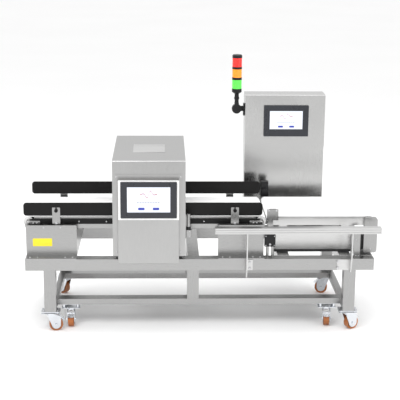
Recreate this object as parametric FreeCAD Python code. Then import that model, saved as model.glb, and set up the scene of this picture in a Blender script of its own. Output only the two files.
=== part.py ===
# Belt conveyor with a tunnel metal detector head and a checkweigher on one wheeled stainless frame.
# +X is the direction of travel, -Y the operator's side, +Z up; the wheels stand on z = 0.
# All sizes are in millimetres.
import FreeCAD, Part
import math
import os

V = FreeCAD.Vector

# ---------------------------------------------------------------- driving dimensions
# welded frame
frame_length = 1780.0
frame_width = 630.0
frame_top = 391.0
tube = 60.0
tube_wall = 2.5
end_cap = 3.0
front_leg_x = 768.0
rear_leg_x = 735.0
mid_leg_x = -35.0
weigher_cross_x = (430.0, 750.0)
low_rail_height = 30.0
low_rail_depth = 60.0
low_rail_bottom = 122.0
low_rail_outer_y = 240.0
low_tube_wall = 2.0
low_cross_width = 30.0
low_cross_x = 750.0
arm_width = 40.0
arm_height = 40.0

# swivel casters
wheel_radius = 35.0
wheel_width = 28.0
caster_height = 100.0
caster_trail = 25.0
inner_caster_x = 670.0
inner_caster_y = 200.0
plate_length = 95.0
plate_depth = 64.0
plate_thick = 3.0
foot_thick = 4.0
spacer_gap = 5.0
spacer_across = 13.0
crown_top = 90.0
crown_thick = 5.0
crown_radius = 22.0
kingpin_radius = 6.0
fork_inside = 34.0
fork_wall = 3.0
axle_radius = 4.0
axle_boss = 23.0
axle_nut_across = 12.0
pedal_pin = (42.0, 74.0)
pedal_pin_radius = 2.5
pedal_sleeve = 4.5
pedal_reach = 30.0
pedal_slope = 35.0
pedal_thick = 3.0
shoe_gap = 2.1

# metal detector conveyor
belt_top = 586.0
belt_width = 400.0
belt_thick = 2.0
infeed_end = -906.0
transfer_x = 345.0
transfer_gap = 5.0
roller_radius = 25.0
shaft_radius = 7.5
rail_gap = 6.0
rail_thick = 10.0
rail_height = 26.0
rail_top = 576.0
rail_end_gap = 19.0
channel_height = 22.0
channel_thick = 8.0
bed_thick = 2.0
spacer_radius = 10.0
bracket_length = 77.0
bracket_bottom = 523.0
bracket_top = 568.0
bracket_thick = 6.0
bracket_reach = 17.0

# stands between the frame and the detector conveyor
stand_y = 253.0
stand_thick = 3.0
stand_top = 553.0
stand_flange = 4.0
left_stand_inset = 2.0
left_stand_length = 258.0
right_stand = (92.0, 327.0)
stand_end_top = 515.0
tie_height = 16.0
tie_width = 20.0

# detector head
head_left = -444.0
head_right = -77.0
head_front = 313.0
head_back = 330.0
head_bottom = 403.0
head_top = 903.0
head_wall = 2.5
head_round = 8.0
tunnel_half = 250.0
tunnel_bottom = 505.0
tunnel_top = 745.0
liner_wall = 8.0
coil_length = 150.0
coil_thick = 34.0
cover_left = -417.0
cover_right = -109.0
cover_bottom = 378.0
cover_top = 812.0
cover_depth = 32.0
cover_wall = 2.0
flange_side = 14.0
flange_top = 835.0
flange_bottom = 410.0
flange_thick = 2.5

# operator panels
bezel_thick = 8.0
bezel_round = 4.0
glass_thick = 2.7
glass_recess = 3.0

# checkweigher
weigher_end = 900.0
weigher_belt_thick = 1.5
weigher_roller = 19.0
weigher_shaft = 6.0
weigher_side_bottom = 541.0
weigher_side_top = 581.0
weigher_side_thick = 6.0
base_left = 384.0
base_right = 794.0
base_half = 184.0
base_top = 484.0
base_wall = 2.5
mat_margin = 4.0
cell_length = 150.0
cell_width = 40.0
cell_height = 24.0
cell_block = 6.0
carrier_width = 40.0
carrier_thick = 8.0
cover_x = (846.0, 915.0)
drive_cover_bottom = 400.0
drive_cover_top = 586.0
drive_cover_depth = 20.0
drive_cover_wall = 1.5
drive_plate_thick = 4.0
motor_z = 452.0
motor_size = 84.0
motor_length = 130.0
pulley_radius = 16.0
pulley_width = 11.0
timing_belt_thick = 2.0

# product rail in front of the machine
rail_x = (71.0, 908.0)
rail_front = 385.0
rail_depth = 40.0
rail_bar_height = 30.0
rail_bottom = 543.0
rail_groove = 3.0
bar_thick = 6.0
left_bar_x = 231.0
right_bar_x = 762.0
left_bar_bottom = 304.0

# side guides
guide_y = 225.0
guide_thick = 6.0
guide_bottom = 598.0
guide_height = 68.0
front_guide = (-900.0, 319.0)
rear_guide = (-907.0, 342.0)
guide_corner = 16.0
guide_bracket_x = (-734.0, 178.0)
guide_bracket_width = 40.0
guide_lift = 20.0
stud_radius = 3.0

# electrical cabinet
cabinet_left = 263.0
cabinet_right = 703.0
cabinet_front = 322.0
cabinet_back = 450.0
cabinet_top = 1131.0
cabinet_wall = 2.0
cabinet_lip_z = 845.0
cabinet_step = 12.0
door_thick = 3.0
door_gap = 0.3
door_margin = 3.0
door_opening_rim = 20.0
latch_x = 300.0
latch_z = 760.0

# stack light on its folding joint
light_x = 218.0
light_y = 386.0
knuckle_z = 1044.0
knuckle_radius = 26.0
knuckle_half = 13.85
light_radius = 27.0
light_neck = 12.5
lens_wall = 4.5

# clearances
gap = 0.3
running = 0.05
leaf = 0.15

# ---------------------------------------------------------------- derived places
left_stand_start = -frame_length / 2 + left_stand_inset
left_stand = (left_stand_start, left_stand_start + left_stand_length)
beam_y = frame_width / 2 - tube / 2
frame_inner = frame_width / 2 - tube
frame_low = frame_top - tube
low_rail_top = low_rail_bottom + low_rail_height
low_rail_y = low_rail_outer_y - low_rail_depth / 2
roller_z = belt_top - belt_thick - roller_radius
infeed_roller_x = infeed_end + belt_thick + roller_radius
outfeed_roller_x = transfer_x - transfer_gap / 2 - belt_thick - roller_radius
weigher_roller_z = belt_top - weigher_belt_thick - weigher_roller
weigher_start_x = transfer_x + transfer_gap / 2 + weigher_belt_thick + weigher_roller
weigher_end_x = weigher_end - weigher_belt_thick - weigher_roller
rail_inner_y = belt_width / 2 + rail_gap
rail_outer_y = rail_inner_y + rail_thick
channel_outer_y = rail_inner_y + channel_thick
bracket_y = rail_outer_y + bracket_thick
weigher_side_y = rail_inner_y + weigher_side_thick
head_mid = (head_left + head_right) / 2
cabinet_mid_y = (cabinet_front + cabinet_back) / 2
pulley_y = weigher_side_y + drive_plate_thick + 3.0

# the caster places: x, y and the direction of the trail in degrees from +X
caster_places = [
    (-front_leg_x, -beam_y, 8.0),
    (-inner_caster_x, -inner_caster_y, -90.0),
    (inner_caster_x, -inner_caster_y, -95.0),
    (front_leg_x, -beam_y, 25.0),
    (rear_leg_x, beam_y, 170.0),
    (-rear_leg_x, beam_y, 140.0),
]

# The finished machine is moved so that its box is centred on X and Y.
reach_left = -rear_guide[0]
reach_right = cover_x[1]
reach_front = rail_front
reach_back = cabinet_back + door_gap + door_thick + 14.0
centre = V((reach_left - reach_right) / 2, (reach_front - reach_back) / 2, 0)

nodes = {}


# ---------------------------------------------------------------- helpers
def add(name, solids):
    nodes.setdefault(name, []).extend(solids if isinstance(solids, list) else [solids])


def box(x0, x1, y0, y1, z0, z1):
    low = V(min(x0, x1), min(y0, y1), min(z0, z1))
    return Part.makeBox(abs(x1 - x0), abs(y1 - y0), abs(z1 - z0), low)


def rod(axis, start, length, radius):
    direction = {"x": V(1, 0, 0), "y": V(0, 1, 0), "z": V(0, 0, 1)}[axis]
    return Part.makeCylinder(radius, length, V(*start), direction)


def point(plane, p, q, w):
    if plane == "xy":
        return V(p, q, w)
    if plane == "xz":
        return V(p, w, q)
    return V(w, p, q)


def prism(wire_edges, plane, start, thick):
    """Extrude a closed outline, drawn in a plane at the place start, by thick."""
    face = Part.Face(Part.Wire(wire_edges))
    solid = face.extrude(point(plane, 0, 0, thick))
    if solid.Volume < 0:
        solid.reverse()
    return solid


def polygon(points, plane, start, thick):
    corners = [point(plane, p, q, start) for p, q in points]
    edges = [Part.LineSegment(a, b).toShape() for a, b in zip(corners, corners[1:] + corners[:1])]
    return prism(edges, plane, start, thick)


def hexagon(p, q, across, plane, start, thick):
    """Extrude a hexagon round the point p, q, given its size across flats."""
    radius = across / math.sqrt(3)
    turns = [math.radians(60 * i) for i in range(6)]
    return polygon([(p + radius * math.cos(t), q + radius * math.sin(t)) for t in turns],
                   plane, start, thick)


def hull(circles, plane, start, thick):
    """Extrude the band round a ring of circles (p, q, radius), given anticlockwise."""
    count = len(circles)
    normals = []
    for i in range(count):
        p0, q0, r0 = circles[i]
        p1, q1, r1 = circles[(i + 1) % count]
        span = math.hypot(p1 - p0, q1 - q0)
        normals.append(math.atan2(q1 - q0, p1 - p0) - math.acos((r0 - r1) / span))
    edges = []
    for i in range(count):
        p0, q0, r0 = circles[i]
        p1, q1, r1 = circles[(i + 1) % count]
        before, after = normals[i - 1], normals[i]
        while after < before:
            after += 2 * math.pi

        def on(p, q, r, angle):
            return point(plane, p + r * math.cos(angle), q + r * math.sin(angle), start)

        if r0 > 0 and after - before > 1e-6:
            middle = (before + after) / 2
            arc = Part.Arc(on(p0, q0, r0, before), on(p0, q0, r0, middle), on(p0, q0, r0, after))
            edges.append(arc.toShape())
        edges.append(Part.LineSegment(on(p0, q0, r0, after), on(p1, q1, r1, after)).toShape())
    return prism(edges, plane, start, thick)


def rounded(x0, x1, z0, z1, radius, plane, start, thick):
    """Extrude a rectangle with rounded corners."""
    return hull([(x0 + radius, z0 + radius, radius), (x1 - radius, z0 + radius, radius),
                 (x1 - radius, z1 - radius, radius), (x0 + radius, z1 - radius, radius)],
                plane, start, thick)


def fillet(shape, radius, direction, keep=None):
    """Round the edges that run along one axis, and that keep accepts."""
    axis = {"x": V(1, 0, 0), "y": V(0, 1, 0), "z": V(0, 0, 1)}[direction]
    chosen = []
    for edge in shape.Edges:
        if len(edge.Vertexes) < 2:
            continue
        run = edge.Vertexes[1].Point - edge.Vertexes[0].Point
        if run.Length > 1e-6 and abs(abs(run.normalize().dot(axis)) - 1) < 1e-6:
            if keep is None or keep(edge.CenterOfMass):
                chosen.append(edge)
    return shape.makeFillet(radius, chosen)


def lathe(profile, centre_point, axis):
    """Turn a closed profile of (radius, height) points round an axis."""
    turned = polygon(profile, "xz", 0, 1).Faces
    flat = [f for f in turned if f.BoundBox.YLength < 1e-6][0]
    solid = flat.revolve(V(0, 0, 0), V(0, 0, 1), 360)
    if solid.Volume < 0:
        solid.reverse()
    if axis == "y":
        solid.rotate(V(0, 0, 0), V(1, 0, 0), -90)
    solid.translate(V(*centre_point))
    return solid


def square_tube(x0, x1, y0, y1, z0, z1, wall, along):
    outer = box(x0, x1, y0, y1, z0, z1)
    lengths = {"x": (0, wall, wall), "y": (wall, 0, wall), "z": (wall, wall, 0)}[along]
    dx, dy, dz = lengths
    return outer.cut(box(x0 + dx, x1 - dx, y0 + dy, y1 - dy, z0 + dz, z1 - dz))


def mirror_y(shape):
    return shape.mirror(V(0, 0, 0), V(0, 1, 0))


# ---------------------------------------------------------------- welded frame
def build_frame():
    half = frame_length / 2
    for side in (-1, 1):
        y0 = side * beam_y - tube / 2
        y1 = side * beam_y + tube / 2
        add("upper_frame", square_tube(-half + end_cap, half - end_cap, y0, y1,
                                       frame_low, frame_top, tube_wall, "x"))
        add("upper_frame", box(-half, -half + end_cap, y0, y1, frame_low, frame_top))
        add("upper_frame", box(half - end_cap, half, y0, y1, frame_low, frame_top))
    for x in (-half + tube / 2, mid_leg_x, *weigher_cross_x, half - tube / 2):
        add("upper_frame", square_tube(x - tube / 2, x + tube / 2, -frame_inner, frame_inner,
                                       frame_low, frame_top, tube_wall, "y"))
    # arms behind the rear beam that carry the cabinet
    for x in (cabinet_left + 2 * arm_width, cabinet_right - 2 * arm_width):
        add("upper_frame", square_tube(x - arm_width / 2, x + arm_width / 2, frame_width / 2,
                                       cabinet_back, frame_top - arm_height, frame_top,
                                       tube_wall, "y"))


def build_legs():
    foot_top = caster_height + spacer_gap + foot_thick
    for x, y in ((-front_leg_x, -beam_y), (front_leg_x, -beam_y),
                 (-rear_leg_x, beam_y), (rear_leg_x, beam_y)):
        add("leg_frame", square_tube(x - tube / 2, x + tube / 2, y - tube / 2, y + tube / 2,
                                foot_top, frame_low, tube_wall, "z"))
    for side in (-1, 1):
        y = side * low_rail_y
        add("leg_frame", square_tube(mid_leg_x - tube / 2, mid_leg_x + tube / 2, y - tube / 2,
                                y + tube / 2, low_rail_top, frame_low, tube_wall, "z"))


def build_low_frame():
    inner = low_cross_x - low_cross_width / 2
    for side in (-1, 1):
        x = side * low_cross_x
        add("leg_frame", square_tube(x - low_cross_width / 2, x + low_cross_width / 2,
                                       -frame_inner, frame_inner, low_rail_bottom, low_rail_top,
                                       low_tube_wall, "y"))
        y = side * low_rail_y
        add("leg_frame", square_tube(-inner, inner, y - low_rail_depth / 2,
                                       y + low_rail_depth / 2, low_rail_bottom, low_rail_top,
                                       low_tube_wall, "x"))


# ---------------------------------------------------------------- casters
def caster_plate(x, y, foot_top):
    """Foot plate of the frame, four spacer nuts, and the fixed half of the caster's swivel."""
    plate_low = caster_height - plate_thick
    foot_low = foot_top - foot_thick
    half_x = plate_length / 2
    half_y = plate_depth / 2
    foot = box(x - half_x, x + half_x, y - half_y, y + half_y, foot_low, foot_top)
    spacers = [hexagon(x + i * (half_x - spacer_across), y + j * (half_y - spacer_across),
                       spacer_across, "xy", caster_height, foot_low - caster_height)
               for i in (-1, 1) for j in (-1, 1)]
    plate = box(x - half_x, x + half_x, y - half_y, y + half_y, plate_low, caster_height)
    race = rod("z", (x, y, crown_top + gap), plate_low - crown_top - gap, crown_radius + 2)
    pin_low = crown_top - crown_thick - 8
    pin = rod("z", (x, y, pin_low), plate_low - pin_low, kingpin_radius)
    nut = hexagon(x, y, 3 * kingpin_radius, "xy", pin_low, 7)
    add("caster_plates", [foot, *spacers, plate.fuse([race, pin, nut]).removeSplitter()])


def caster_fork():
    """Fork with its trail along +X and its kingpin on the Z axis."""
    pin_x, pin_z = pedal_pin
    inner = fork_inside / 2
    outer = inner + fork_wall
    crown = rounded(-crown_radius, crown_radius, -outer, outer, 8, "xy",
                    crown_top - crown_thick, crown_thick)
    parts = []
    low = crown_top - crown_thick
    for y in (-outer, inner):
        cheek = hull([(-crown_radius + 8, low + 1, 4), (caster_trail, wheel_radius, axle_boss),
                      (pin_x, pin_z, 7), (crown_radius - 4, low + 1, 4)], "xz", y, fork_wall)
        parts.append(cheek)
    axle = rod("y", (caster_trail, -outer, wheel_radius), 2 * outer, axle_radius)
    head = hexagon(caster_trail, wheel_radius, axle_nut_across, "xz", -outer - 5, 5)
    nut = hexagon(caster_trail, wheel_radius, axle_nut_across, "xz", outer, 5)
    pin = rod("y", (pin_x, -outer, pin_z), 2 * outer, pedal_pin_radius)
    fork = crown.fuse(parts + [axle, head, nut, pin])
    fork = fork.cut(rod("z", (0, 0, low - 2), crown_thick + 4, kingpin_radius + running))
    return fork.removeSplitter()


def caster_wheel():
    half = wheel_width / 2
    hub_half = fork_inside / 2 - 0.5
    bore = axle_radius + running
    hub = 2.5 * axle_radius
    web = 6.0
    rim = wheel_radius - 9
    profile = [(bore, -hub_half), (hub, -hub_half), (hub, -web), (rim, -web), (rim, -half),
               (wheel_radius, -half), (wheel_radius, half), (rim, half), (rim, web), (hub, web),
               (hub, hub_half), (bore, hub_half)]
    return lathe(profile, (caster_trail, 0, wheel_radius), "y")


def caster_pedal():
    pin_x, pin_z = pedal_pin
    half = fork_inside / 2 - 0.5
    sleeve = rod("y", (0, -half, 0), 2 * half, pedal_sleeve)
    tread = hull([(3, -half + 3, 3), (pedal_reach - 8, -half + 5, 5), (pedal_reach - 5, 0, 5),
                  (pedal_reach - 8, half - 5, 5), (3, half - 3, 3)], "xy", 0, pedal_thick)
    # the pedal leaves the fork above the tyre; the shoe under it meets the tread
    reach_to_axle = math.hypot(pin_x - caster_trail, pin_z - wheel_radius)
    to_axle = math.atan2(wheel_radius - pin_z, caster_trail - pin_x)
    slope = math.radians(-pedal_slope)
    foot = reach_to_axle * math.cos(to_axle - slope)
    drop = reach_to_axle * abs(math.sin(to_axle - slope)) - wheel_radius - shoe_gap
    shoe = box(foot - 4, foot + 4, -half + 5, half - 5, -drop, 0)
    lever = sleeve.fuse([tread, shoe])
    lever = lever.cut(rod("y", (0, -half - 1, 0), 2 * half + 2, pedal_pin_radius + running))
    lever = lever.removeSplitter()
    lever.rotate(V(0, 0, 0), V(0, 1, 0), pedal_slope)
    lever.translate(V(pin_x, 0, pin_z))
    return lever


def build_casters():
    for number, (x, y, yaw) in enumerate(caster_places, 1):
        inboard = abs(x) == inner_caster_x
        foot_top = low_rail_bottom if inboard else caster_height + spacer_gap + foot_thick
        caster_plate(x, y, foot_top)
        for name, shape in (("fork", caster_fork()), ("wheel", caster_wheel()),
                            ("pedal", caster_pedal())):
            shape.rotate(V(0, 0, 0), V(0, 0, 1), yaw)
            shape.translate(V(x, y, 0))
            add("caster_%s_%d" % (name, number), shape)


# ---------------------------------------------------------------- belts and rollers
def belt_loop(x0, x1, z, radius, thick):
    outer = hull([(x0, z, radius + thick), (x1, z, radius + thick)], "xz",
                 -belt_width / 2, belt_width)
    inner = hull([(x0, z, radius), (x1, z, radius)], "xz", -belt_width / 2 - 1, belt_width + 2)
    return outer.cut(inner)


def roller(x, z, radius, shaft, reach, front_reach=None):
    body = belt_width / 2 - 2
    front = reach if front_reach is None else front_reach
    tube_radius = radius - gap
    return lathe([(0, -front), (shaft, -front), (shaft, -body), (tube_radius, -body),
                  (tube_radius, body), (shaft, body), (shaft, reach), (0, reach)],
                 (x, 0, z), "y")


def build_detector_conveyor():
    add("conveyor_belts", belt_loop(infeed_roller_x, outfeed_roller_x, roller_z,
                                    roller_radius, belt_thick))
    add("infeed_roller", roller(infeed_roller_x, roller_z, roller_radius, shaft_radius, bracket_y))
    add("transfer_roller", roller(outfeed_roller_x, roller_z, roller_radius, shaft_radius,
                                  bracket_y))
    rail_start = infeed_roller_x + rail_end_gap
    rail_end = outfeed_roller_x - rail_end_gap
    rail_bottom_z = rail_top - rail_height
    for side in (-1, 1):
        add("side_rails", box(rail_start, rail_end, side * rail_inner_y, side * rail_outer_y,
                              rail_bottom_z, rail_top))
        add("bed_frame", box(rail_start, rail_end, side * rail_inner_y, side * channel_outer_y,
                             rail_bottom_z - channel_height, rail_bottom_z))
    bed_z = belt_top - belt_thick
    bed_ends = roller_radius + 4
    add("bed_frame", box(infeed_roller_x + bed_ends, outfeed_roller_x - bed_ends,
                         -rail_inner_y, rail_inner_y, bed_z - bed_thick, bed_z))
    for side in (-1, 1):
        add("bed_frame", box(infeed_roller_x + bed_ends, outfeed_roller_x - bed_ends,
                             side * (rail_inner_y - bed_thick), side * rail_inner_y,
                             rail_bottom_z, bed_z - bed_thick))
    span = outfeed_roller_x - infeed_roller_x
    for share in (0.08, 0.36, 0.64, 0.92):
        add("bed_frame", rod("y", (infeed_roller_x + share * span, -rail_inner_y + bed_thick,
                                   roller_z), 2 * (rail_inner_y - bed_thick), spacer_radius))
    # plates that carry the roller shafts, round at the outer end
    for x, direction in ((infeed_roller_x, -1), (outfeed_roller_x, 1)):
        middle = (bracket_bottom + bracket_top) / 2
        radius = (bracket_top - bracket_bottom) / 2
        tip = x + direction * bracket_reach
        tail = tip - direction * bracket_length
        ring = [(tip - direction * radius, middle, radius), (tail, bracket_top, 0),
                (tail, bracket_bottom, 0)]
        if direction < 0:
            ring = [ring[0], ring[2], ring[1]]
        plate = hull(ring, "xz", -bracket_y, bracket_thick)
        plate = plate.cut(rod("y", (x, -bracket_y - 1, roller_z), bracket_thick + 2,
                              shaft_radius + running))
        add("roller_brackets", [plate, mirror_y(plate)])


# ---------------------------------------------------------------- stands
def stand_wall(x0, x1, side):
    """Sheet wall and the foot strip under it that lies on the beam."""
    inner = stand_y - stand_thick
    wall = box(x0, x1, side * inner, side * stand_y, frame_top + stand_flange, stand_top)
    wall = fillet(wall, 6, "y", lambda c: c.z > stand_top - 1)
    foot = box(x0, x1, side * inner, side * frame_width / 2, frame_top, frame_top + stand_flange)
    return [wall, foot]


def build_stands():
    tie_top = rail_top - rail_height - 1
    for x0, x1 in (left_stand, right_stand):
        for side in (-1, 1):
            add("conveyor_stands", stand_wall(x0, x1, side))
            for x in (x0 + 80, x1 - 92):
                add("conveyor_stands", box(x, x + tie_width, side * channel_outer_y,
                                           side * (stand_y - stand_thick),
                                           tie_top - tie_height, tie_top))
    inner = stand_y - stand_thick
    x0, x1 = left_stand
    for x in (x0, x1 - stand_thick):
        add("conveyor_stands", box(x, x + stand_thick, -inner, inner, frame_top, stand_end_top))
    # drive inverter inside the left stand, on the cross tube of the frame
    cross = -frame_length / 2 + tube / 2
    drive = box(cross - 20, cross + 100, -90, 90, frame_top, frame_top + 14)
    ribs = [box(cross - 20, cross + 100, -90 + 20 * i, -84 + 20 * i, frame_top + 14,
                frame_top + 34) for i in range(10) if -84 + 20 * i <= 90]
    case = box(cross - 10, cross + 90, -80, 80, frame_top + 34, frame_top + 110)
    case = fillet(case, 5, "z")
    add("control_units", [drive.fuse(ribs).removeSplitter(), case])


# ---------------------------------------------------------------- detector head
def build_head():
    outer = box(head_left, head_right, -head_front, head_back, head_bottom, head_top)
    outer = fillet(outer, head_round, "x")
    inner = box(head_left + head_wall, head_right - head_wall, -head_front + head_wall,
                head_back - head_wall, head_bottom + head_wall, head_top - head_wall)
    inner = fillet(inner, head_round - head_wall, "x")
    casing = outer.cut(inner)
    reach = tunnel_half + liner_wall
    hole = rounded(-reach, reach, tunnel_bottom - liner_wall, tunnel_top + liner_wall,
                   20 + liner_wall, "yz", head_left - 1, head_right - head_left + 2)
    add("head_casing", casing.cut(hole))
    bore = rounded(-tunnel_half, tunnel_half, tunnel_bottom, tunnel_top, 20, "yz",
                   head_left - 2, head_right - head_left + 4)
    sleeve = rounded(-reach, reach, tunnel_bottom - liner_wall, tunnel_top + liner_wall,
                     20 + liner_wall, "yz", head_left, head_right - head_left)
    add("tunnel_liner", sleeve.cut(bore))
    ring = coil_thick
    block = rounded(-reach - ring, reach + ring, tunnel_bottom - liner_wall - ring,
                    tunnel_top + liner_wall + ring, 24 + ring, "yz",
                    head_mid - coil_length / 2, coil_length)
    add("detector_coil", block.cut(hole))
    for x in (head_left + 45, head_right - 45):
        for side in (-1, 1):
            add("isolation_pads", box(x - 30, x + 30, side * beam_y - 25, side * beam_y + 25,
                                      frame_top, head_bottom))


def operator_panel(x0, x1, z0, z1, side, top, low, face_y):
    """Dark bezel with a glass let into it; face_y is the sheet that it stands on."""
    front = face_y - bezel_thick
    bezel = rounded(x0, x1, z0, z1, bezel_round, "xz", front, bezel_thick)
    edge = (x0 + side, x1 - side, z0 + low, z1 - top)
    bezel = bezel.cut(box(edge[0], edge[1], front - 1, front + glass_recess, edge[2], edge[3]))
    glass = box(edge[0], edge[1], front + glass_recess - glass_thick, front + glass_recess,
                edge[2], edge[3])
    add("panel_bezels", bezel)
    add("panel_glasses", glass)


def build_control_cover():
    back = -head_front - flange_thick
    front = -head_front - flange_thick - cover_depth
    pan = rounded(cover_left, cover_right, cover_bottom, cover_top, 6, "xz", front, cover_depth)
    front_edges = [e for e in pan.Edges if abs(e.CenterOfMass.y - front) < 0.01]
    pan = pan.makeFillet(3, front_edges)
    pan = pan.cut(box(cover_left + cover_wall, cover_right - cover_wall, front + cover_wall,
                      back + 1, cover_bottom + cover_wall, cover_top - cover_wall))
    flange = rounded(cover_left - flange_side, cover_right + flange_side, flange_bottom,
                     flange_top, 5, "xz", back, flange_thick)
    window = box(cover_left + 20, cover_right - 20, back - 1, back + flange_thick + 1,
                 flange_bottom + 20, cover_top - 20)
    add("control_cover", pan.fuse(flange.cut(window)).removeSplitter())
    operator_panel(-402, -121, 618, 804, 33, 26, 31, front)


def build_head_fitting():
    """Small key switch on a bracket at the outfeed side of the head."""
    plate = box(head_right, head_right + 3, -302, -268, 500, 626)
    add("sensor_brackets", plate)
    add("sensor_brackets", rod("z", (head_right + 16, -285, 556), 66, 10))
    add("photo_eyes", rod("z", (head_right + 16, -285, 540), 16, 12))
    add("sensor_brackets", fillet(box(head_right + 3, head_right + 32, -300, -270, 502, 540),
                                  4, "z"))
    add("sensor_brackets", box(head_right + 3, head_right + 6, -296, -274, 560, 616))


# ---------------------------------------------------------------- checkweigher
def build_weigher():
    z = weigher_roller_z
    add("conveyor_belts", belt_loop(weigher_start_x, weigher_end_x, z, weigher_roller,
                                    weigher_belt_thick))
    add("weigher_tail_roller", roller(weigher_start_x, z, weigher_roller, weigher_shaft,
                                      weigher_side_y))
    drive = roller(weigher_end_x, z, weigher_roller, weigher_shaft, weigher_side_y,
                   pulley_y + pulley_width)
    pulley = rod("y", (weigher_end_x, -pulley_y - pulley_width, z), pulley_width, pulley_radius)
    add("weigher_drive_roller", drive.fuse(pulley).removeSplitter())

    start = weigher_start_x - weigher_roller + 3
    end = weigher_end_x + weigher_roller - 3
    radius = 8.0
    side = rounded(start, end, weigher_side_bottom, weigher_side_top, radius, "xz",
                   -weigher_side_y, weigher_side_thick)
    for x in (weigher_start_x, weigher_end_x):
        side = side.cut(rod("y", (x, -weigher_side_y - 1, z), weigher_side_thick + 2,
                            weigher_shaft + running))
    add("weigher_frame", [side, mirror_y(side)])
    bed_z = belt_top - weigher_belt_thick
    reach = weigher_roller + 4
    add("weigher_frame", box(weigher_start_x + reach, weigher_end_x - reach, -rail_inner_y,
                             rail_inner_y, weigher_side_top - 3, bed_z))
    for x in weigher_cross_x:
        add("weigher_frame", rod("y", (x, -rail_inner_y, z), 2 * rail_inner_y, 8))
    # raised plates on the operator's side of the weigh frame
    for x0, x1 in ((start + 50, 560), (580, 690), (712, cover_x[0] - 14)):
        add("weigher_frame", box(x0, x1, -weigher_side_y - 2, -weigher_side_y,
                                 weigher_side_bottom + 4, weigher_side_top - 4))


def build_weigher_base():
    mat_top = head_bottom
    shell = box(base_left, base_right, -base_half, base_half, mat_top, base_top)
    shell = fillet(shell, 5, "z")
    shell = shell.cut(box(base_left + base_wall, base_right - base_wall, -base_half + base_wall,
                          base_half - base_wall, mat_top - 1, base_top - base_wall))
    add("weigher_base", shell)
    add("isolation_pads", box(base_left - mat_margin, base_right + mat_margin,
                              -base_half - mat_margin, base_half + mat_margin,
                              frame_top, mat_top))
    middle = (base_left + base_right) / 2
    low = base_top + cell_block
    high = low + cell_height
    carrier_z = high + cell_block
    cell = box(middle - cell_length / 2, middle + cell_length / 2, -cell_width / 2,
               cell_width / 2, low, high)
    for x in (-1, 1):
        cell = cell.cut(rod("y", (middle + x * 12, -cell_width / 2 - 1, (low + high) / 2),
                            cell_width + 2, 8))
    cell = cell.cut(box(middle - 12, middle + 12, -cell_width / 2 - 1, cell_width / 2 + 1,
                        (low + high) / 2 - 4, (low + high) / 2 + 4))
    add("load_cell", cell)
    block = 45.0
    add("load_cell", box(middle - cell_length / 2, middle - cell_length / 2 + block,
                         -cell_width / 2, cell_width / 2, base_top, low))
    add("load_cell", box(middle + cell_length / 2 - block, middle + cell_length / 2,
                         -cell_width / 2, cell_width / 2, high, carrier_z))
    spine = box(weigher_cross_x[0] + carrier_width / 2, weigher_cross_x[1] - carrier_width / 2,
                -cell_width / 2, cell_width / 2, carrier_z, carrier_z + carrier_thick)
    add("load_cell", spine)
    for x in weigher_cross_x:
        arm = box(x - carrier_width / 2, x + carrier_width / 2, -rail_inner_y, rail_inner_y,
                  carrier_z, carrier_z + carrier_thick)
        for side in (-1, 1):
            lug_in = rail_inner_y - 4
            arm = arm.fuse(box(x - carrier_width / 2, x + carrier_width / 2, side * lug_in,
                               side * rail_inner_y, carrier_z, weigher_side_bottom + 14))
        add("load_cell", arm.removeSplitter())


def build_weigher_drive():
    x0, x1 = cover_x
    z = weigher_roller_z
    back = -weigher_side_y - drive_plate_thick
    plate = rounded(x0, x1, drive_cover_bottom, drive_cover_top, 14, "xz", back,
                    drive_plate_thick)
    motor_x = weigher_end_x
    plate = plate.cut(rod("y", (weigher_end_x, back - 1, z), drive_plate_thick + 2,
                          weigher_shaft + running))
    plate = plate.cut(rod("y", (motor_x, back - 1, motor_z), drive_plate_thick + 2, 12))
    cover = rounded(x0, x1, drive_cover_bottom, drive_cover_top, 14, "xz",
                    back - drive_cover_depth, drive_cover_depth)
    hollow = rounded(x0 + drive_cover_wall, x1 - drive_cover_wall,
                     drive_cover_bottom + drive_cover_wall, drive_cover_top - drive_cover_wall,
                     12.5, "xz", back - drive_cover_depth + drive_cover_wall, drive_cover_depth)
    add("drive_cover", [cover.cut(hollow), plate])
    # motor behind the plate, its shaft through the plate to the lower pulley
    case = box(x0 - 18, x1 - 1, -weigher_side_y, -weigher_side_y + motor_length,
               motor_z - motor_size / 2, motor_z + motor_size / 2)
    case = fillet(case, 8, "y")
    ribs = [box(x0 - 19, x1, -weigher_side_y + 30 + 12 * i, -weigher_side_y + 36 + 12 * i,
                motor_z - motor_size / 2 + 8, motor_z + motor_size / 2 - 8) for i in range(8)]
    bore = rod("y", (motor_x, -weigher_side_y - 1, motor_z), 40, weigher_shaft + running)
    add("weigher_motor", case.fuse(ribs).cut(bore).removeSplitter())
    shaft = rod("y", (motor_x, -pulley_y - pulley_width, motor_z),
                pulley_y + pulley_width - weigher_side_y + 38, weigher_shaft)
    pulley = rod("y", (motor_x, -pulley_y - pulley_width, motor_z), pulley_width, pulley_radius)
    add("motor_pulley", shaft.fuse(pulley).removeSplitter())
    inner_r = pulley_radius + gap
    belt_y = -pulley_y - pulley_width + 1
    loop = hull([(weigher_end_x, motor_z, inner_r + timing_belt_thick),
                 (weigher_end_x, z, inner_r + timing_belt_thick),
                 ], "xz", belt_y, pulley_width - 2)
    loop = loop.cut(hull([(weigher_end_x, motor_z, inner_r), (weigher_end_x, z, inner_r)], "xz",
                         belt_y - 1, pulley_width))
    add("timing_belt", loop)


def build_transport_stop():
    """Upright strip on the front beam beside the drive, which stops the weigh frame's swing."""
    x0, x1 = 792, 825
    y = -frame_inner - 3
    add("sensor_brackets", box(x0, x1, y, y + 3, frame_top + 3, weigher_side_bottom - 4))
    add("sensor_brackets", box(x0, x1, y - 22, y + 3, frame_top, frame_top + 3))


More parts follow.
